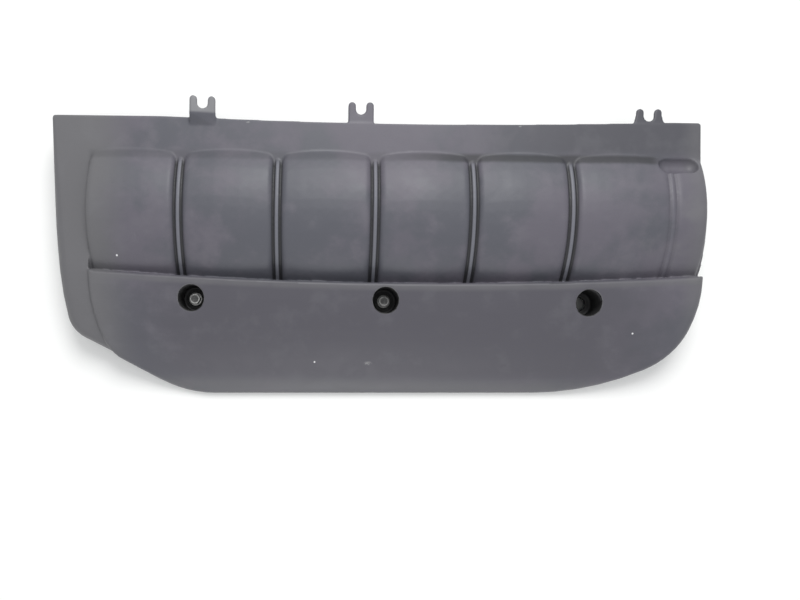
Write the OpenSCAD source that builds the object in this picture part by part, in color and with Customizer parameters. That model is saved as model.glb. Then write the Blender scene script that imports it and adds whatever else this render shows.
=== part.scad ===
// Engine cover for a straight-six engine, moulded in black plastic.
// The cover lies face up on its rim: +X runs along the engine, +Y points to the
// edge with the three forks, +Z points out of the face and z = 0 is the rim.

/* [Outline] */
// Length of the cover
cover_len = 652; // [646:1:680]
// Y of the back edge at its two corners
back_y = 130.3; // [126:0.1:134]
// How far the back edge is hollowed
back_hollow = 5.4; // [1:0.1:7]
// X of the middle of that hollow
back_hollow_x = 39; // [-20:1:60]
// Half the width of that hollow
back_hollow_w = 262; // [200:1:280]
// Y of the front edge where its straight stretch begins on the left
front_y = -148.8; // [-156:0.1:-144]
// Distance of the pillow row's right side from the right end of the front panel
side_setback = 4.5; // [3:0.1:8]

/* [Heights] */
// Height of the flange above the rim
flange_z = 46; // [40:0.5:54]
// Height of the front panel's upper edge above the flange
panel_rise = 4; // [3:0.1:6]
// Wall thickness of the moulding
wall = 2.5; // [2:0.1:3]

/* [Pillow row] */
// Spacing of the strips between the pillows, the engine's cylinder spacing
pitch = 97; // [94:0.1:98]
// Number of strips that have a full pillow on their left
strips = 6; // [6:1:6]
// Distance of the first pillow from the left side of the cover
row_start = 38.5; // [36:0.1:44]
// Distance of the first strip from the left side of the cover
first_strip = 129; // [126:0.1:134]
// Space between two pillows
gap = 8; // [7:0.1:10]
// Space at the last strip, beside the short end of the row
end_gap = 3; // [2:0.1:6]
// Radius of the arch, measured at the floor of the gaps
arch_r = 101.5; // [100:0.1:104]
// Height of the arch's floor above the flange at its crown
arch_rise = 10.5; // [9:0.1:13]
// Y of the arch's axis
arch_y = 39.8; // [37:0.1:42]
// Height of a pillow's crown above the floor of the gaps
pillow_h = 6; // [4:0.1:8]
// The same on the short end of the row
end_h = 4.4; // [3:0.1:6]
// Radius of a pillow's shoulders
shoulder_r = 6.5; // [4:0.1:9]
// Radius of a pillow's crown across its width
crown_r = 420; // [300:1:600]
// Radius of the bead that runs along each gap
bead_r = 3.2; // [2.4:0.1:3.6]
// Height of the bead above the floor of its gap
bead_h = 1.7; // [1:0.1:2.4]
// The same at the last strip
end_bead_h = 3.8; // [2:0.1:4.2]

/* [Front panel] */
// Radius of the panel's curve from back to front
panel_r = 205; // [190:1:230]
// Radius of the hollow in the panel's upper edge, seen from above
sag_r = 4608; // [3600:1:5600]
// X of the lowest point of that hollow
sag_x = 12.2; // [-10:0.1:30]
// Y of the lowest point of that hollow
sag_y = -33.6; // [-36:0.1:-31]
// Rounding along the panel's upper edge
lip_r = 4.5; // [3:0.1:6]
// Rounding along the front and the sides
rim_r = 9; // [6:0.1:10]
// Rounding along the flange's left side
left_rim_r = 12; // [9:0.1:14]

/* [Fixings] */
// X of the left well
left_well_x = -184.9; // [-190:0.1:-180]
// X of the middle well
middle_well_x = 9.1; // [4:0.1:14]
// X of the right well
right_well_x = 211.4; // [206:0.1:218]
// Y of the three wells
well_y = -50.9; // [-54:0.1:-49]
// Radius of a well
well_r = 13; // [11.5:0.1:14]
// Height of the floor's upper side in a well
floor_z = 17.5; // [14:0.1:20]
// Thickness of that floor
floor_t = 3; // [2.5:0.1:4]
// Radius of the hole in a well's floor
floor_hole_r = 7; // [6.5:0.1:7.5]
// Nominal thread radius of the screws
screw_r = 3; // [2.5:0.1:3.2]
// Length of the thread, below the thinner shank that keeps the screw captive
thread_len = 8.5; // [7:0.1:9]
// Radius of that shank
shank_r = 2.5; // [2:0.1:2.8]
// Width across the flats of the screw's hexagon
hex_af = 10; // [9:0.1:11]
// Height of the screw's hexagon
hex_h = 5; // [4:0.1:6]
// Radius of the screw's flange
screw_flange_r = 6.6; // [6.2:0.1:8.5]
// Clearance of the screw's tip above the rim
tip_gap = 1; // [0.5:0.1:3]

/* [Forks] */
// Width of a fork
fork_w = 25.6; // [24:0.1:30]
// Thickness of a fork
fork_t = 3; // [2.5:0.1:4]
// Width of a fork's slot
slot_w = 10.2; // [8:0.1:11]
// Depth of a fork's slot
slot_d = 12.4; // [10:0.1:13]
// X of the left fork
left_fork_x = -175.5; // [-182:0.1:-170]
// Reach of the left fork
left_fork_reach = 20.2; // [18:0.1:24]
// Height of the step up to the left fork, at its middle
step_up = 5; // [3:0.1:8]
// Sideways slant of the left fork
fork_slant = 8; // [0:0.5:10]
// X of the middle fork
middle_fork_x = -17.8; // [-24:0.1:-12]
// Reach of the middle fork
middle_fork_reach = 21.2; // [18:0.1:24]
// X of the right fork
right_fork_x = 269.4; // [264:0.1:276]
// Reach of the right fork
right_fork_reach = 14.1; // [13.5:0.1:18]
// Widening of the right fork towards its root, on each side
right_fork_flare = 2; // [0:0.1:4]

/* [Hidden] */

plastic = [0.20, 0.20, 0.22];
zinc = [0.72, 0.72, 0.70];
rubber = [0.07, 0.07, 0.07];

left_x = -cover_len / 2;
right_x = cover_len / 2;
side_inset = 0.3;
flange_right_x = right_x - side_inset;
row_right_x = right_x - side_setback;

// Arch: its axis runs along X at [arch_y, arch_z]
arch_z = flange_z + arch_rise - arch_r;
facet = 2;
arch_fn = 360 / facet;
row_x = left_x + row_start;
strip_xs = [for (k = [0 : strips - 1]) left_x + first_strip + k * pitch];
crown = arch_r + pillow_h;

// Panel: its curve's axis runs along X at [panel_y, panel_z]
panel_top = flange_z + panel_rise;
crown_back = 16.8;
crown_up = 0.4;
panel_y = sag_y + crown_back;
panel_z = panel_top + crown_up - panel_r;

function panel_height(y, drop = 0) =
    panel_z + sqrt(pow(panel_r - drop, 2) - pow(y - panel_y, 2));

// The flange is flat and then falls with the panel, panel_rise below it
function flange_height(y, drop = 0) =
    y > panel_y ? flange_z - drop
                : min(flange_z - drop, panel_height(y, panel_rise + drop));

// Outlines are walked counter-clockwise as runs of [length, 0] or
// [radius, turn]; a stop on the way is [x, y, heading]
turn_step = 5.5;
stop_len = 26;

function run_end(p, s) =
    s[1] == 0 ? [p[0] + s[0] * cos(p[2]), p[1] + s[0] * sin(p[2]), p[2]]
              : [p[0] + s[0] * (sin(p[2] + s[1]) - sin(p[2])),
                 p[1] - s[0] * (cos(p[2] + s[1]) - cos(p[2])), p[2] + s[1]];

function run_stops(p, s) =
    s[1] == 0 ? [p]
              : let (n = ceil(max(s[1] / turn_step, s[0] * s[1] * PI / 180 / stop_len)))
                [for (k = [0 : n - 1]) k == 0 ? p : run_end(p, [s[0], s[1] * k / n])];

function walk(p, runs, i = 0) =
    i == len(runs) ? [p]
                   : concat(run_stops(p, runs[i]), walk(run_end(p, runs[i]), runs, i + 1));

// Flange: down the left side and round the lower left corner, then up the right
side_lean = 1.4;
corner_r = 3;
bend_y = 86.6;
foot_y = sag_y - 0.5;
left_bend = [950, 9.5];
left_corner = [30, 52.5];
left_foot = [42, 0];
flange_left = walk([left_x, back_y - corner_r, -90],
                   [[back_y - corner_r - bend_y, 0], left_bend, left_corner, left_foot, left_foot]);
flange_right = walk([flange_right_x, foot_y, 90 + side_lean], [[back_y - corner_r - foot_y, 0]]);
flange_stops = concat(flange_left, flange_right);

// Panel: down its left side, along the front and up the right side
function chain_end(p, runs, i = 0) =
    i == len(runs) ? p : chain_end(run_end(p, runs[i]), runs, i + 1);

panel_inset = 37.1;
panel_start = 24.5;
panel_left_x = left_x + panel_inset;
panel_start_y = sag_y + panel_start;
left_heading = -87;
left_runs = [[175, 19], [43, 38.5], [38, 0], [110, 30.25]];
right_runs = [[260, 25.25], [74, 44], [150, 20]];
side_run = [25, 0];
left_reach = chain_end([0, 0, left_heading], left_runs);
first_run = (panel_start_y + left_reach[1] - front_y) / sin(-left_heading);
panel_left = walk([panel_left_x, panel_start_y, left_heading], concat([[first_run, 0]], left_runs));
last_left = panel_left[len(panel_left) - 1];
right_reach = chain_end([0, 0, last_left[2]], right_runs);
front_run = (right_x - right_reach[0] - last_left[0]) / cos(last_left[2]);
panel_right = walk(run_end(last_left, [front_run, 0]), concat(right_runs, [side_run, side_run]));
panel_stops = concat(panel_left, panel_right);

// Least height of the rounding's centre above the rim, along the front
low_rim = 1.5;

// Edge roundings: small at the back corners and at the step beside the flange
corner_reach = 20;
step_reach = 150;
function flange_edge_r(p) = p[1] > back_y - corner_reach ? corner_r : p[0] < 0 ? left_rim_r : rim_r;
function panel_edge_r(p) = p[0] < left_x + step_reach && p[2] < -40 ? lip_r : rim_r;

post_fn = 24;
module ball_post(p, r, centre_z, e) {
    translate([p[0] - r * sin(p[2]), p[1] + r * cos(p[2]), 0]) {
        translate([0, 0, centre_z]) sphere(r - e, $fn = post_fn);
        translate([0, 0, e > 0 ? -1 : 0]) cylinder(r = r - e, h = 1, $fn = post_fn);
    }
}

// The flange's body as one rounded slab, e further in for its hollow
module flange_body(e) {
    hull()
        for (p = flange_stops) {
            r = flange_edge_r(p);
            ball_post(p, r, flange_height(p[1] + r * cos(p[2]), r), e);
        }
}

// The panel's body, cut off behind the hollow line of its upper edge
module panel_body(e) {
    difference() {
        hull()
            for (p = panel_stops) {
                r = panel_edge_r(p);
                ball_post(p, r, max(low_rim, panel_height(p[1] + r * cos(p[2]), r)), e);
            }
        behind_step() sag_profile(e);
    }
}

// Turns a profile about the centre of the upper edge's hollow, across the cover
module behind_step() {
    translate([sag_x, sag_y + sag_r, 0]) rotate_extrude(angle = 10, start = 265, $fn = 720) children();
}

// What lies behind the upper edge, with the corner that rounds that edge
module sag_profile(e) {
    translate([sag_r - 80, -10]) square([80 + e, 110]);
    difference() {
        translate([sag_r, panel_top - lip_r]) square([lip_r, 60]);
        translate([sag_r + lip_r, panel_top - lip_r]) circle(lip_r - e, $fn = 48);
    }
}

// Puts a profile drawn in Y and Z along X, with the arch's axis as its origin
module along_arch(x0, x1) {
    translate([x0, arch_y, arch_z]) rotate([90, 0, 90]) linear_extrude(x1 - x0) children();
}

// Turns a profile of [radius, x] about the arch's axis
module round_arch(x, from, to) {
    translate([x, arch_y, arch_z]) rotate([90, 0, 90])
        rotate_extrude(angle = to - from, start = from, $fn = arch_fn) children();
}

// Height at which the row ends under the panel, and how far it runs down under the flange
row_front_z = 18;
row_sink = 8.7;
function on_facet(a) = facet * round(a / facet);
back_angle = on_facet(asin((flange_z - row_sink - arch_z) / crown));
front_angle = 180 - on_facet(asin((row_front_z - arch_z) / crown));
arch_front = arch_r * cos(180 - front_angle) + 4;
arch_back = 50;

module arch_floor(e) {
    along_arch(row_x + e, right_x)
        intersection() {
            circle(arch_r - e, $fn = arch_fn);
            translate([-arch_front, -arch_z - (e > 0 ? 1 : 0)])
                square([arch_front + arch_back, arch_r + arch_z + 5]);
        }
}

// Section of a pillow: side, shoulder, crown, shoulder, side
function pillow_section(w, h) =
    let (centre = arch_r + h - crown_r,
         su = w / 2 - shoulder_r,
         sr = centre + sqrt(pow(crown_r - shoulder_r, 2) - pow(su, 2)),
         tip = asin(su / (crown_r - shoulder_r)))
    concat([[arch_r - 5, -w / 2]],
           [for (k = [0 : 5]) let (a = 90 - k * (90 - tip) / 5)
               [sr + shoulder_r * cos(a), -su - shoulder_r * sin(a)]],
           [for (k = [1 : 5]) let (a = -tip + k * tip / 3)
               [centre + crown_r * cos(a), crown_r * sin(a)]],
           [for (k = [0 : 5]) let (a = tip + k * (90 - tip) / 5)
               [sr + shoulder_r * cos(a), su + shoulder_r * sin(a)]],
           [[arch_r - 5, w / 2]]);

module pillow(x0, x1, h) {
    round_arch((x0 + x1) / 2, back_angle, front_angle)
        polygon(pillow_section(x1 - x0, h));
}

end_overhang = 1.2;
function gap_at(k) = k == strips - 1 ? end_gap : gap;
pillow_starts = concat([row_x], [for (k = [0 : strips - 1]) strip_xs[k] + gap_at(k) / 2]);
pillow_ends = concat([for (k = [0 : strips - 1]) strip_xs[k] - gap_at(k) / 2], [row_right_x + end_overhang]);

module pillow_row() {
    for (k = [0 : strips])
        pillow(pillow_starts[k], pillow_ends[k], k == strips ? end_h : pillow_h);
}

// Hollow under a pillow, a little inside its shoulders
module pillow_hollow(x0, x1, h) {
    half = (x1 - x0) / 2 - wall - 1.5;
    drop = half * half / (2 * crown_r) + 0.6;
    round_arch((x0 + x1) / 2, back_angle, front_angle)
        polygon(concat([[arch_r - 10, -half]],
                       [for (u = [-1 : 0.5 : 1]) [arch_r + h - wall - 0.2 - drop * u * u, half * u]],
                       [[arch_r - 10, half]]));
}

module beads() {
    for (k = [0 : strips - 1])
        round_arch(strip_xs[k], back_angle, front_angle)
            translate([arch_r + (k == strips - 1 ? end_bead_h : bead_h) - bead_r, 0]) circle(bead_r, $fn = 32);
}

// The row's right side is straight at the back and flares out to the panel's end
flare_y = 60;
flare_r = 760;
flare_steps = 16;
function row_side(y) =
    min(flange_right_x, row_right_x + pow(max(0, flare_y - y), 2) / (2 * flare_r));

module row_prism(e) {
    low_y = well_y;
    translate([0, 0, -2]) linear_extrude(flange_z + 60)
        polygon(concat([[row_x - 10, back_y], [row_x - 10, low_y]],
                       [for (k = [0 : flare_steps]) let (y = low_y + k * (back_y - low_y) / flare_steps)
                           [row_side(y) - e, y]]));
}

// Where the arch dips below the flange, the flange is cut away down to the arch
// and forwards to just under the panel's upper edge
pocket_reach = 110;
pocket_lap = 0.3;
module pocket(e) {
    intersection() {
        along_arch(row_x - e, right_x + 20)
            difference() {
                translate([-arch_front - 30, -arch_z - 2]) square([arch_front + 30, arch_r + arch_z + 30]);
                circle(arch_r - e, $fn = arch_fn);
            }
        behind_step() translate([sag_r - pocket_reach, -10]) square([pocket_reach + pocket_lap + e, flange_z + 40]);
    }
}

// The hollow in front of the right end's pillow
dent_r = 9;
dent_deep = 3.4;
dent_len = 22;
dent_back = 46.8;
module dent(e) {
    translate([strip_xs[strips - 1] - 2, arch_y + dent_back, flange_z + dent_r - dent_deep])
        rotate([0, 90, 0])
            if (e > 0) translate([0, 0, -dent_r - e]) cylinder(r = dent_r + e, h = dent_len + 2 * (dent_r + e), $fn = 48);
            else rotate_extrude($fn = 48) capsule_profile();
}

module capsule_profile() {
    intersection() {
        translate([0, -dent_r]) square([dent_r, dent_len + 2 * dent_r]);
        union() {
            circle(dent_r, $fn = 48);
            square([dent_r, dent_len]);
            translate([0, dent_len]) circle(dent_r, $fn = 48);
        }
    }
}

module outer_form() {
    difference() {
        union() {
            difference() {
                flange_body(0);
                pocket(0);
            }
            intersection() {
                union() {
                    arch_floor(0);
                    pillow_row();
                    beads();
                }
                row_prism(0);
            }
            panel_body(0);
        }
        dent(0);
        hollow_back_edge();
        translate([left_x - 1, front_y - 10, -20]) cube([cover_len + 2, back_y - front_y + 20, 20]);
    }
}

module inner_form() {
    difference() {
        union() {
            difference() {
                flange_body(wall);
                pocket(wall);
            }
            intersection() {
                union() {
                    arch_floor(wall);
                    for (k = [0 : strips])
                        pillow_hollow(pillow_starts[k], pillow_ends[k], k == strips ? end_h : pillow_h);
                }
                row_prism(wall);
            }
            panel_body(wall);
        }
        dent(wall);
        translate([0, -wall, 0]) hollow_back_edge();
        stiffeners();
    }
}

// The back edge has a very flat hollow
function back_edge_y(x) =
    back_y - back_hollow * max(0, 1 - pow((x - back_hollow_x) / back_hollow_w, 2));

back_steps = 18;
module hollow_back_edge() {
    from = back_hollow_x - back_hollow_w;
    to = back_hollow_x + back_hollow_w;
    translate([0, 0, -3]) linear_extrude(flange_z + 20)
        polygon(concat([for (k = [0 : back_steps]) let (x = from + (to - from) * k / back_steps)
                           [x, back_edge_y(x)]],
                       [[to, back_y + corner_r], [from, back_y + corner_r]]));
}

// Ribs on the underside, under each strip and across each well
rib_t = 1.8;
rib_h = 12;
rib_angles = [back_angle, 130];
cross_long = 90;
cross_wide = 68;
cross_z = 23;
well_xs = [left_well_x, middle_well_x, right_well_x];
boss_r = well_r + wall;
module stiffeners() {
    for (x = strip_xs)
        round_arch(x, rib_angles[0], rib_angles[1])
            translate([arch_r - wall - rib_h, -rib_t / 2]) square([rib_h + wall, rib_t]);
    for (x = well_xs) {
        translate([x - rib_t / 2, well_y - cross_long * 2 / 3, cross_z]) cube([rib_t, cross_long, flange_z]);
        translate([x - cross_wide / 2, well_y - rib_t / 2, cross_z]) cube([cross_wide, rib_t, flange_z]);
    }
}

boss_top = panel_height(well_y - boss_r) - wall / 2;
module boss(x) {
    translate([x, well_y, floor_z - floor_t])
        cylinder(r = boss_r, h = boss_top - floor_z + floor_t, $fn = 64);
}

module well(x) {
    translate([x, well_y, floor_z]) cylinder(r = well_r, h = 60, $fn = 64);
    translate([x, well_y, floor_z - floor_t - 1]) cylinder(r = floor_hole_r, h = floor_t + 2, $fn = 48);
}

// Forks that slip over rubber buffers, each rooted in the back edge
prong_w = (fork_w - slot_w) / 2;
fork_root = 8;
fork_sink = 0.4;
module fork_plan(reach, flare) {
    difference() {
        union() {
            for (side = [-1, 1])
                translate([side * (fork_w - prong_w) / 2, reach - prong_w / 2]) circle(prong_w / 2, $fn = 32);
            translate([-fork_w / 2, 0]) square([fork_w, reach - prong_w / 2]);
            polygon([[-fork_w / 2 - flare, 0], [fork_w / 2 + flare, 0],
                     [fork_w / 2, fork_root], [-fork_w / 2, fork_root]]);
        }
        translate([0, reach - slot_d + slot_w / 2]) circle(slot_w / 2, $fn = 32);
        translate([-slot_w / 2, reach - slot_d + slot_w / 2]) square([slot_w, slot_d]);
    }
}

module flat_fork(x, reach, flare) {
    y = back_edge_y(x);
    translate([x, y, flange_z - fork_t - fork_sink]) linear_extrude(fork_t) fork_plan(reach, flare);
    translate([x - fork_w / 2 - flare, y - fork_root, flange_z - fork_t - fork_sink])
        cube([fork_w + 2 * flare, fork_root + 0.5, fork_t]);
}

// The left fork stands a step higher and slants, on a sloping web
web_t = 3;
module stepped_fork(x, reach) {
    translate([x, back_edge_y(x), flange_z - fork_t]) {
        translate([0, 0, step_up]) rotate([0, fork_slant, 0])
            difference() {
                linear_extrude(fork_t) fork_plan(reach, 0);
                translate([-fork_w, -1, -1]) cube([2 * fork_w, 4, 2 * fork_t]);
            }
        hull() {
            translate([-fork_w / 2, -fork_root, 0]) cube([fork_w, fork_root, fork_t - 0.2]);
            translate([0, 2.8, step_up]) rotate([0, fork_slant, 0])
                translate([-fork_w / 2, 0, 0.1]) cube([fork_w, web_t, fork_t - 0.2]);
        }
    }
}

module cover_shell() {
    color(plastic)
        difference() {
            union() {
                difference() {
                    outer_form();
                    inner_form();
                }
                for (x = well_xs) boss(x);
                stepped_fork(left_fork_x, left_fork_reach);
                flat_fork(middle_fork_x, middle_fork_reach, 0);
                flat_fork(right_fork_x, right_fork_reach, right_fork_flare);
            }
            for (x = well_xs) well(x);
        }
}

// Fixings: rubber grommet in the floor, steel sleeve in the grommet, captive screw
fit = 0.1;
lip_t = 2;
lip_w = 3;
sleeve_r = 4.6;
sleeve_hole_r = screw_r + 0.35;
seat_z = floor_z + lip_t;
sleeve_low_z = floor_z - floor_t - lip_t;

module grommet(x) {
    color(rubber)
        translate([x, well_y, 0])
            rotate_extrude($fn = 64)
                polygon([[sleeve_r + fit, sleeve_low_z], [floor_hole_r + lip_w, sleeve_low_z],
                         [floor_hole_r + lip_w, sleeve_low_z + lip_t], [floor_hole_r - fit, sleeve_low_z + lip_t],
                         [floor_hole_r - fit, floor_z], [floor_hole_r + lip_w, floor_z],
                         [floor_hole_r + lip_w, seat_z], [sleeve_r + fit, seat_z]]);
}

module sleeve(x) {
    color(zinc)
        translate([x, well_y, sleeve_low_z])
            difference() {
                cylinder(r = sleeve_r, h = seat_z - sleeve_low_z, $fn = 48);
                translate([0, 0, -1]) cylinder(r = sleeve_hole_r, h = seat_z - sleeve_low_z + 2, $fn = 48);
            }
}

screw_flange_t = 1.5;
chamfer = 0.8;
dish_r = 3.6;
dish_deep = 1.2;
module screw(x) {
    color(zinc)
        translate([x, well_y, 0])
            difference() {
                union() {
                    translate([0, 0, seat_z]) cylinder(r = screw_flange_r, h = screw_flange_t, $fn = 48);
                    translate([0, 0, seat_z + screw_flange_t])
                        intersection() {
                            cylinder(r = hex_af / 2 / cos(30), h = hex_h, $fn = 6);
                            cylinder(r1 = hex_af, r2 = hex_af / 2, h = hex_h * 1.02, $fn = 48);
                        }
                    translate([0, 0, tip_gap + thread_len])
                        cylinder(r = shank_r, h = seat_z - tip_gap - thread_len + 0.5, $fn = 48);
                    translate([0, 0, tip_gap + chamfer]) cylinder(r = screw_r, h = thread_len - chamfer, $fn = 48);
                    translate([0, 0, tip_gap]) cylinder(r1 = screw_r - chamfer, r2 = screw_r, h = chamfer, $fn = 48);
                }
                translate([0, 0, seat_z + screw_flange_t + hex_h - dish_deep])
                    cylinder(r = dish_r, h = dish_deep + 1, $fn = 48);
            }
}

cover_shell();
screw(left_well_x);  // left_screw
screw(middle_well_x);  // middle_screw
grommet(left_well_x);  // left_grommet
grommet(middle_well_x);  // middle_grommet
sleeve(left_well_x);  // left_sleeve
sleeve(middle_well_x);  // middle_sleeve
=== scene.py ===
import math

import bpy
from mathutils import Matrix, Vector


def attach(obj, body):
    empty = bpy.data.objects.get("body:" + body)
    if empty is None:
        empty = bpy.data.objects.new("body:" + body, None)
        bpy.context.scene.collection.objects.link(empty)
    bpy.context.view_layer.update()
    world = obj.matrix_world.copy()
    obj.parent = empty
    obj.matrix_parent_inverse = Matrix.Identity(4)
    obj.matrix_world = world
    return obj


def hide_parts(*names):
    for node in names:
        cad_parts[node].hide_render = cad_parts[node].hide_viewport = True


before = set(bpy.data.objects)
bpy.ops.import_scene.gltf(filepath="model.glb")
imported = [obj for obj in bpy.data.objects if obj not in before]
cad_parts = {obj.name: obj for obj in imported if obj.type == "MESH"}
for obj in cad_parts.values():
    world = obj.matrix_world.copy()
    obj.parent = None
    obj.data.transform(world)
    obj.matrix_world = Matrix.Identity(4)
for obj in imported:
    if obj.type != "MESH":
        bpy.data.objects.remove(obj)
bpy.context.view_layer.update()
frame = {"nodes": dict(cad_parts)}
print("frame loaded:", ", ".join(frame["nodes"]))

mm = 0.001
weldDistance = 0.01 * mm


def deselectAll():
    if bpy.context.object and bpy.context.object.mode != "OBJECT":
        bpy.ops.object.mode_set(mode="OBJECT")
    bpy.ops.object.select_all(action="DESELECT")


def finishModifiers(piece):
    deselectAll()
    bpy.context.view_layer.objects.active = piece
    piece.select_set(True)
    for modifier in list(piece.modifiers):
        bpy.ops.object.modifier_apply(modifier=modifier.name)


# shader maths: a wire is a socket that is used in sums, and each sum adds a Math node
class Wire:
    def __init__(self, finish, socket):
        self.finish, self.socket = finish, socket

    def math(self, operation, *others):
        return self.finish.math(operation, self, *others)

    def __add__(self, other):
        return self.finish.math("ADD", self, other)

    def __radd__(self, other):
        return self.finish.math("ADD", other, self)

    def __sub__(self, other):
        return self.finish.math("SUBTRACT", self, other)

    def __rsub__(self, other):
        return self.finish.math("SUBTRACT", other, self)

    def __mul__(self, other):
        return self.finish.math("MULTIPLY", self, other)

    def __rmul__(self, other):
        return self.finish.math("MULTIPLY", other, self)

    def __truediv__(self, other):
        return self.finish.math("DIVIDE", self, other)

    def __rtruediv__(self, other):
        return self.finish.math("DIVIDE", other, self)

    def __abs__(self):
        return self.math("ABSOLUTE")

    def clamped(self):
        return self.math("MINIMUM", 1.0).math("MAXIMUM", 0.0)


class Finish:
    def __init__(self, name):
        self.material = bpy.data.materials.new(name)
        self.material.use_nodes = True
        self.nodes = self.material.node_tree.nodes
        self.links = self.material.node_tree.links
        self.shader = self.nodes["Principled BSDF"]
        self.place = self.node("ShaderNodeTexCoord", output="Object")

    def plug(self, node, values):
        for key, value in values.items():
            if isinstance(value, Wire):
                self.links.new(value.socket, node.inputs[key])
            else:
                node.inputs[key].default_value = value

    def node(self, kind, settings=None, values=None, output=0):
        made = self.nodes.new(kind)
        for key, value in (settings or {}).items():
            setattr(made, key, value)
        self.plug(made, values or {})
        return Wire(self, made.outputs[output])

    def math(self, operation, *values):
        return self.node("ShaderNodeMath", {"operation": operation}, dict(enumerate(values)))

    def vectors(self, operation, *values, output=0):
        return self.node("ShaderNodeVectorMath", {"operation": operation}, dict(enumerate(values)), output)

    def mix(self, factor, first, second):
        return self.node("ShaderNodeMix", {"data_type": "RGBA"}, {0: factor, 6: first, 7: second}, 2)

    def ramp(self, value, low, high, start=0.0, end=1.0):
        return self.node("ShaderNodeMapRange", {"interpolation_type": "SMOOTHSTEP"},
                         {"Value": value, "From Min": low, "From Max": high, "To Min": start, "To Max": end})

    def noise(self, scale, detail=2.0, roughness=0.5, stretch=None):
        at = self.place
        if stretch:
            at = self.node("ShaderNodeMapping", values={"Vector": at, "Scale": stretch})
        return self.node("ShaderNodeTexNoise",
                         values={"Vector": at, "Scale": scale, "Detail": detail, "Roughness": roughness})

    # a place along one axis, and a distance from an upright line, both in mm
    def axis(self, name):
        return self.node("ShaderNodeSeparateXYZ", values={"Vector": self.place}, output=name) / mm

    def distance(self, x, y, stretch=(1, 1, 0)):
        away = self.vectors("SUBTRACT", self.place, (x * mm, y * mm, 0))
        away = self.vectors("MULTIPLY", away, stretch)
        return self.vectors("LENGTH", away, output="Value") / mm

    def spot(self, x, y, radius, stretch=(1, 1, 0), core=0.4):
        return self.ramp(self.distance(x, y, stretch), radius, radius * core)

    def feed(self, values):
        self.plug(self.shader, values)

    def bump(self, height, depth, strength):
        values = {"Height": height, "Distance": depth * mm, "Strength": strength}
        self.feed({"Normal": self.node("ShaderNodeBump", values=values)})


def grey(level, tint=(1.0, 1.0, 1.0)):
    return (level * tint[0], level * tint[1], level * tint[2], 1.0)


# camera straight above the cover, as the photograph was taken
cameraSettings = {
    "place": (-51.0, -94.7, 723.0), "turn": 0.75,
    "lens": 30.6, "sensor": 36.0, "shift": (0.094, 0.054), "clip": (0.01, 20.0),
}


def setCamera():
    look = cameraSettings
    lens = bpy.data.cameras.new("photoCamera")
    camera = bpy.data.objects.new("photoCamera", lens)
    bpy.context.scene.collection.objects.link(camera)
    camera.location = Vector(look["place"]) * mm
    camera.rotation_euler = (0, 0, math.radians(look["turn"]))
    lens.lens = look["lens"]
    lens.sensor_width = look["sensor"]
    lens.shift_x, lens.shift_y = look["shift"]
    lens.clip_start, lens.clip_end = look["clip"]
    bpy.context.scene.camera = camera


setCamera()
print("camera set")


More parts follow.
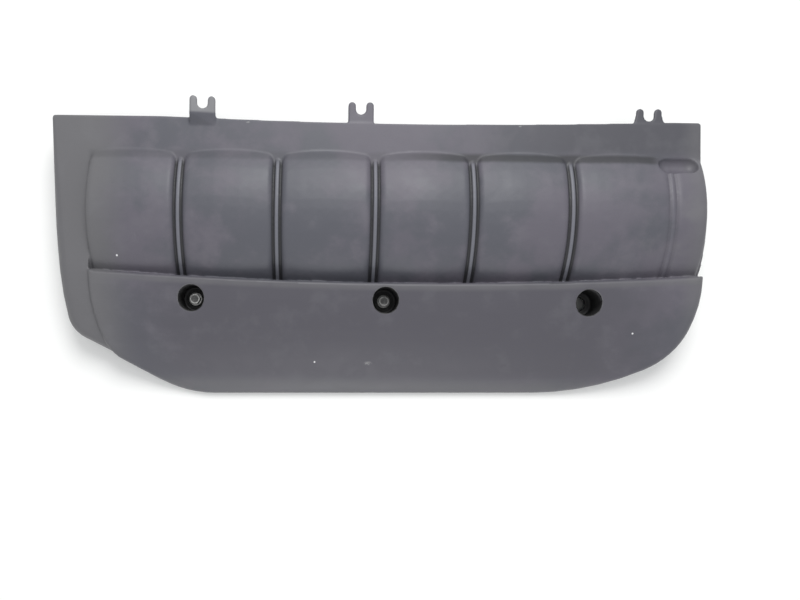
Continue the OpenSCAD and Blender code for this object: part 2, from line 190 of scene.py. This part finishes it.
# plastic of the cover: scratched and scuffed, with painted shade on the panel, in the
# grooves, along the pillows' back ends and in the wells, and painted highlights on the
# beads, the wells' mouths, the lip and the ends. A mark has a colour, the share of it
# that shows, and limits from where it begins to where it is full: places in mm, or
# levels of a cloudy noise. Its wander, in mm, is how far the clouds move its edge, and
# grain depths are in mm too.
chalk = grey(0.30)
paleTone = grey(0.125, (1.0, 0.985, 1.04))
deepShade = grey(0.014, (0.95, 0.98, 1.05))
plasticLook = {
    "wells": [(-184.9, -50.9), (9.1, -50.9), (211.4, -50.9)],
    "step": {"middle": 12.2, "level": -33.6, "radius": 4608.0},
    "strips": {"first": -197.0, "pitch": 97.0},

    "noises": {
        "cloud": (34.0, 4.0, 0.6), "broad": (11.0, 3.0), "soot": (620.0, 3.0), "scuff": (500.0,),
        "scratch": (40.0, 5.0, 0.7, (1.0, 14.0, 6.0)), "grain": (2600.0, 2.0, 0.6), "pits": (900.0, 2.0),
    },
    "broadShare": 0.6,

    "base": grey(0.090, (0.94, 0.955, 1.14)),
    "mottle": {"colour": grey(0.114, (1.02, 0.93, 1.14)), "share": 0.8, "cloud": (0.44, 0.60)},
    "leftBand": {"colour": paleTone, "share": 1.0, "right": (-215.0, -262.0), "wander": 40.0},
    # painted shade on the panel
    "panel": {"colour": grey(0.078, (0.99, 0.945, 1.14)), "share": 1.0, "back": (2.0, -4.0),
              "front": (-116.0, -88.0), "middle": 20.0, "side": (345.0, 215.0), "wander": 60.0},
    "rightFlange": {"colour": grey(0.070, (0.96, 0.95, 1.13)), "share": 1.0,
                    "front": (88.0, 104.0), "left": (90.0, 230.0), "wander": 60.0},
    "dust": {"colour": grey(0.165, (0.98, 0.98, 1.06)), "share": 0.16, "cloud": (0.50, 0.72)},
    "soot": {"colour": grey(0.060), "share": 0.25, "cloud": (0.60, 0.80)},

    # the panel's lip and the cover's ends, both lightened by painted highlights
    "lip": {"share": 0.55, "back": (-0.5, -2.5), "front": (-10.0, -5.0)},
    "paintedHighlight": {"colour": paleTone, "share": 0.6, "right": (298.0, 318.0), "front": (-126.0, -140.0),
             "cloud": (0.2, 0.5, 0.5)},
    "scratches": {"colour": chalk, "share": 0.14, "cloud": (0.66, 0.74), "fade": (0.4, 0.7), "rough": 0.1},

    # the row of pillows, and the gaps in it
    "row": {"front": (-1.0, 3.0), "back": (91.0, 80.0),
            "left": (-222.0, -214.0), "right": (262.0, 250.0, 0.1)},
    "groove": {"colour": deepShade, "share": 0.9, "inner": (1.2, 2.1), "outer": (6.0, 4.2)},
    "bead": {"colour": grey(0.165, (0.95, 0.97, 1.12)), "share": 0.75, "outer": (1.9, 1.1)},
    "paintedBackShade": {"colour": deepShade, "share": 0.7, "middle": 89.5, "side": (6.5, 2.0), "wander": 3.0,
                 "deep": (0.0, 90.0, 0.25), "right": (285.0, 270.0), "left": (-291.0, -285.0)},

    "fork": {"colour": grey(0.17, (0.99, 0.99, 1.05)), "share": 1.0,
             "front": (131.0, 134.0), "right": (-155.0, -160.0)},
    # painted highlight round the wells' mouths, and painted shade inside them
    "mouth": {"colour": grey(0.20), "share": 0.5, "outer": (13.9, 13.3), "inner": (12.4, 12.9)},
    "paintedWellShade": {"colour": grey(0.014), "share": 0.88, "outer": (14.2, 13.6), "top": (46.4, 45.4)},

    # single marks: places and radius
    "smudge": {"colour": grey(0.17), "share": 0.25, "cloud": (0.35, 0.65),
               "marks": [(271.5, 14.0, 22.0), (305.5, 42.0, 18.0), (299.5, 6.0, 14.0)]},
    "scuff": {"colour": chalk, "share": 0.7, "cloud": (0.35, 0.6), "stretch": (1, 2, 0),
              "marks": [(-6.5, -114.6, 5.0), (-130.5, 124.5, 2.6), (140.5, 123.7, 2.2)]},
    "speck": {"colour": grey(0.75), "share": 1.0,
              "marks": [(-258.0, -10.3, 1.3), (-61.3, -114.1, 1.2), (257.9, -81.0, 1.2)]},

    "rough": (0.3, 0.7, 0.44, 0.56), "ior": 1.5,
    "pitShare": 0.7, "grainDepth": 0.06, "grainStrength": 0.55,
}


def plasticFinish():
    f = Finish("wornPlastic")
    look = plasticLook
    x, y, z = f.axis("X"), f.axis("Y"), f.axis("Z")

    def noise(name):
        return f.noise(*look["noises"][name])

    def limit(value, entry, side):
        return f.ramp(value, *look[entry][side])

    def wander(entry, clouds):
        return clouds * look[entry]["wander"]

    def laidOver(under, entry, mask):
        return f.mix(mask * look[entry]["share"], under, look[entry]["colour"])

    cloud = noise("cloud")
    broad = noise("broad") * look["broadShare"] + cloud * (1.0 - look["broadShare"])

    # distance behind the curved step, and from the nearest strip between the pillows
    step, strips = look["step"], look["strips"]
    across = x - step["middle"]
    behind = y - step["level"] - across * across / (2.0 * step["radius"])
    half = strips["pitch"] / 2.0
    beside = abs((x - (strips["first"] - half)).math("FLOORED_MODULO", strips["pitch"]) - half)

    # the whole cover, its panel and its flange
    colour = laidOver(look["base"], "mottle", limit(broad, "mottle", "cloud"))
    colour = laidOver(colour, "leftBand", limit(x + wander("leftBand", broad), "leftBand", "right"))
    # painted shade: the panel, which tilts away from the lamps, is darkened
    paintedPanelShade = limit(behind, "panel", "back") * limit(behind, "panel", "front")
    sideways = abs(x - look["panel"]["middle"]) + wander("panel", cloud)
    colour = laidOver(colour, "panel", paintedPanelShade * limit(sideways, "panel", "side"))
    rightEnd = limit(x + wander("rightFlange", cloud), "rightFlange", "left")
    colour = laidOver(colour, "rightFlange", limit(y, "rightFlange", "front") * rightEnd)
    colour = laidOver(colour, "dust", limit(cloud, "dust", "cloud"))
    colour = laidOver(colour, "soot", limit(noise("soot"), "soot", "cloud"))

    # painted highlights on the edges, and long scratches
    lip = limit(behind, "lip", "back") * limit(behind, "lip", "front") * look["lip"]["share"]
    ends = (limit(x, "paintedHighlight", "right") + limit(y, "paintedHighlight", "front")) * look["paintedHighlight"]["share"]
    paintedHighlight = (lip + ends).clamped() * limit(cloud, "paintedHighlight", "cloud")
    colour = f.mix(paintedHighlight, colour, look["paintedHighlight"]["colour"])
    scratches = limit(noise("scratch"), "scratches", "cloud")
    colour = laidOver(colour, "scratches", scratches * limit(cloud, "scratches", "fade"))

    # painted shade in the grooves, painted highlights on the beads, and painted shade along the pillows'
    # back ends
    row = limit(behind, "row", "front") * limit(y, "row", "back") * limit(x, "row", "left")
    row = row * limit(x, "row", "right")
    groove = limit(beside, "groove", "inner") * limit(beside, "groove", "outer")
    colour = laidOver(colour, "groove", row * groove)
    # painted highlight along each strip's bead
    colour = laidOver(colour, "bead", row * limit(beside, "bead", "outer"))
    # painted shade along the pillows' back ends
    darkening = limit(abs(y - look["paintedBackShade"]["middle"] - wander("paintedBackShade", cloud)), "paintedBackShade", "side")
    for side in ("deep", "right", "left"):
        darkening = darkening * limit(x, "paintedBackShade", side)
    colour = laidOver(colour, "paintedBackShade", darkening)

    # the left fork, and the wells: a painted highlight round each mouth and painted shade inside
    colour = laidOver(colour, "fork", limit(y, "fork", "front") * limit(x, "fork", "right"))
    for well in look["wells"]:
        away = f.distance(*well)
        colour = laidOver(colour, "mouth", limit(away, "mouth", "outer") * limit(away, "mouth", "inner"))
        colour = laidOver(colour, "paintedWellShade", limit(away, "paintedWellShade", "outer") * limit(z, "paintedWellShade", "top"))

    # single marks
    for mark in look["smudge"]["marks"]:
        colour = laidOver(colour, "smudge", f.spot(*mark) * limit(cloud, "smudge", "cloud"))
    for mark in look["scuff"]["marks"]:
        torn = limit(noise("scuff"), "scuff", "cloud")
        colour = laidOver(colour, "scuff", f.spot(*mark, look["scuff"]["stretch"]) * torn)
    for mark in look["speck"]["marks"]:
        colour = laidOver(colour, "speck", f.spot(*mark))

    rough = f.ramp(cloud, *look["rough"]) + scratches * look["scratches"]["rough"]
    f.feed({"Base Color": colour, "Roughness": rough, "IOR": look["ior"]})
    f.bump(noise("grain") + noise("pits") * look["pitShare"], look["grainDepth"], look["grainStrength"])
    return f.material


# zinc of the screws and sleeves: each kind's level of grey and share of dirt, and
# the darker centres of the screws' dishes
screwPlaces = dict(zip(("left", "middle"), plasticLook["wells"]))
zincLook = {
    "brightZinc": (0.60, 0.35), "dullZinc": (0.36, 0.8),
    "tint": (1.0, 0.99, 0.96), "noise": (900.0, 3.0, 0.6), "dirtCloud": (0.4, 0.7), "dirtLevel": 0.45,
    "dish": grey(0.05), "dishShare": 0.8, "dishOuter": (4.2, 3.4),
    "rough": (0.3, 0.7, 0.28, 0.5), "metallic": 0.9,
    "grainNoise": (2400.0, 2.0), "grainDepth": 0.04, "grainStrength": 0.4,
}


def zincFinish(name):
    f = Finish(name)
    look = zincLook
    level, darkening = look[name]
    cloud = f.noise(*look["noise"])
    colour = f.mix(f.ramp(cloud, *look["dirtCloud"]) * darkening,
                   grey(level, look["tint"]), grey(level * look["dirtLevel"]))
    for place in screwPlaces.values():
        dish = f.ramp(f.distance(*place), *look["dishOuter"])
        colour = f.mix(dish * look["dishShare"], colour, look["dish"])
    f.feed({"Base Color": colour, "Roughness": f.ramp(cloud, *look["rough"]), "Metallic": look["metallic"]})
    f.bump(f.noise(*look["grainNoise"]), look["grainDepth"], look["grainStrength"])
    return f.material


# rubber of the grommets, greyed by dust
rubberLook = {
    "base": grey(0.028), "dust": grey(0.06), "dustShare": 0.5,
    "dustNoise": (700.0, 3.0), "dustCloud": (0.4, 0.7),
    "roughNoise": (300.0,), "rough": (0.3, 0.7, 0.7, 0.85),
    "grainNoise": (1800.0, 3.0), "grainDepth": 0.05, "grainStrength": 0.5,
}


def rubberFinish():
    f = Finish("grommetRubber")
    look = rubberLook
    dust = f.ramp(f.noise(*look["dustNoise"]), *look["dustCloud"])
    colour = f.mix(dust * look["dustShare"], look["base"], look["dust"])
    f.feed({"Base Color": colour, "Roughness": f.ramp(f.noise(*look["roughNoise"]), *look["rough"])})
    f.bump(f.noise(*look["grainNoise"]), look["grainDepth"], look["grainStrength"])
    return f.material


plastic = plasticFinish()
brightZinc = zincFinish("brightZinc")
dullZinc = zincFinish("dullZinc")
rubber = rubberFinish()
print("materials made")


# a copy of a solid with its doubled points merged, left in edit mode
def mergedCopy(node, name):
    piece = bpy.data.objects.new(name, frame["nodes"][node].data.copy())
    bpy.context.scene.collection.objects.link(piece)
    deselectAll()
    bpy.context.view_layer.objects.active = piece
    piece.select_set(True)
    bpy.ops.object.mode_set(mode="EDIT")
    bpy.ops.mesh.select_all(action="SELECT")
    bpy.ops.mesh.remove_doubles(threshold=weldDistance)
    return piece


# a finished piece's material, its body, its slot, which is not used, and the solids that it stands for
def dressPiece(piece, material, slot, *nodes):
    piece.data.materials.clear()
    piece.data.materials.append(material)
    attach(piece, "root")
    if nodes:
        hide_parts(*nodes)


# the moulding: a copy of the solid with softened edges, thinned to this many
# triangles, many of which stay joined in pairs as faces with four sides
shellSettings = {"voxel": 0.9, "smooth": 0.5, "rounds": 6, "triangles": 255000}


def mouldedShell():
    look = shellSettings
    shell = mergedCopy("cover_shell", "moulded_cover")
    bpy.ops.object.mode_set(mode="OBJECT")
    remesh = shell.modifiers.new("remesh", "REMESH")
    remesh.mode = "VOXEL"
    remesh.voxel_size = look["voxel"] * mm
    remesh.use_smooth_shade = True
    relax = shell.modifiers.new("relax", "SMOOTH")
    relax.factor, relax.iterations = look["smooth"], look["rounds"]
    finishModifiers(shell)
    triangles = len(shell.data.polygons) * 2
    print("shell remeshed:", triangles, "triangles")
    thin = shell.modifiers.new("thin", "DECIMATE")
    thin.ratio = min(1.0, look["triangles"] / triangles)
    finishModifiers(shell)
    print("shell thinned:", len(shell.data.polygons), "faces")
    dressPiece(shell, plastic, "plastic", "cover_shell")


mouldedShell()

# screws, sleeves and grommets: their solids with the small roundings of the real ones
fixingSettings = {
    "left_screw": {"round": 0.25, "steps": 2, "material": brightZinc, "slot": "zinc"},
    "middle_screw": {"round": 0.25, "steps": 2, "material": dullZinc, "slot": "zinc"},
    "left_sleeve": {"round": 0.2, "steps": 2, "material": dullZinc, "slot": "zinc"},
    "middle_sleeve": {"round": 0.2, "steps": 2, "material": dullZinc, "slot": "zinc"},
    "left_grommet": {"round": 0.6, "steps": 3, "material": rubber, "slot": "rubber"},
    "middle_grommet": {"round": 0.6, "steps": 3, "material": rubber, "slot": "rubber"},
}

# in degrees: flatter edges than the first are merged away, sharper ones than the
# second are rounded, and sharper ones than the third are shaded with a crease
fixingAngles = {"merge": 1.0, "round": 35.0, "crease": 40.0}


def roundedFixing(name, look):
    piece = mergedCopy(name, "rounded_" + name)
    bpy.ops.mesh.dissolve_limited(angle_limit=math.radians(fixingAngles["merge"]))
    bpy.ops.object.mode_set(mode="OBJECT")
    rounding = piece.modifiers.new("rounding", "BEVEL")
    rounding.width = look["round"] * mm
    rounding.segments = look["steps"]
    rounding.limit_method = "ANGLE"
    rounding.angle_limit = math.radians(fixingAngles["round"])
    finishModifiers(piece)
    bpy.ops.object.shade_smooth_by_angle(angle=math.radians(fixingAngles["crease"]))
    dressPiece(piece, look["material"], look["slot"], name)


for name, look in fixingSettings.items():
    roundedFixing(name, look)
print("fixings rounded")

# rolled thread of the screws, a ridge that winds round each shank's end
threadSettings = {"axisRadius": 2.95, "ridge": 0.42, "corners": 3, "pitch": 1.0, "turns": 7, "start": 1.6,
                  "steps": 32}


def threadRidge(side, x, y):
    look = threadSettings
    deselectAll()
    bpy.ops.mesh.primitive_circle_add(
        vertices=look["corners"], radius=look["ridge"] * mm, fill_type="NOTHING")
    ridge = bpy.context.object
    ridge.name = side + "_thread_ridge"
    bpy.ops.object.mode_set(mode="EDIT")
    bpy.ops.mesh.select_all(action="SELECT")
    bpy.ops.transform.rotate(value=math.pi / 2, orient_axis="Z", center_override=(0, 0, 0))
    bpy.ops.transform.rotate(value=math.pi / 2, orient_axis="X", center_override=(0, 0, 0))
    bpy.ops.transform.translate(value=(look["axisRadius"] * mm, 0, look["start"] * mm))
    bpy.ops.object.mode_set(mode="OBJECT")
    winding = ridge.modifiers.new("winding", "SCREW")
    winding.screw_offset = look["pitch"] * mm
    winding.iterations = look["turns"]
    winding.steps = winding.render_steps = look["steps"]
    finishModifiers(ridge)
    bpy.ops.object.mode_set(mode="EDIT")
    bpy.ops.mesh.select_all(action="SELECT")
    bpy.ops.mesh.fill_holes(sides=0)
    bpy.ops.mesh.select_all(action="SELECT")
    bpy.ops.mesh.normals_make_consistent(inside=False)
    bpy.ops.transform.translate(value=(x * mm, y * mm, 0))
    bpy.ops.object.mode_set(mode="OBJECT")
    dressPiece(ridge, dullZinc, "zinc")


for side, place in screwPlaces.items():
    threadRidge(side, *place)
print("threads wound")

# pale table, plain surroundings and two lamps
stageSettings = {
    "floorWidth": 6.0, "floor": grey(0.95, (1.0, 1.0, 0.985)), "floorRough": 0.7,
    "sky": (0.97, 0.985, 1.0, 1.0), "skyStrength": 0.70,
    "lamps": {"key": {"watts": 16.0, "place": (0.1, 1.0, 1.2), "width": 0.9},
              "fill": {"watts": 4.5, "place": (0.0, -1.35, 0.5), "width": 0.8}},
}


def setStage():
    look = stageSettings
    bpy.ops.mesh.primitive_plane_add(size=look["floorWidth"], location=(0, 0, 0))
    floor = bpy.context.object
    floor.name = "floor"
    f = Finish("paleFloor")
    f.feed({"Base Color": look["floor"], "Roughness": look["floorRough"]})
    floor.data.materials.append(f.material)
    world = bpy.data.worlds.new("studio")
    world.use_nodes = True
    sky = world.node_tree.nodes["Background"]
    sky.inputs["Color"].default_value = look["sky"]
    sky.inputs["Strength"].default_value = look["skyStrength"]
    bpy.context.scene.world = world
    for name, lamp in look["lamps"].items():
        light = bpy.data.lights.new(name, "AREA")
        light.shape, light.size, light.energy = "DISK", lamp["width"], lamp["watts"]
        holder = bpy.data.objects.new(name, light)
        holder.location = lamp["place"]
        holder.rotation_euler = (-Vector(lamp["place"])).to_track_quat("-Z", "Y").to_euler()
        bpy.context.scene.collection.objects.link(holder)


setStage()
bpy.context.scene.view_settings.view_transform = "Standard"
print("stage set")
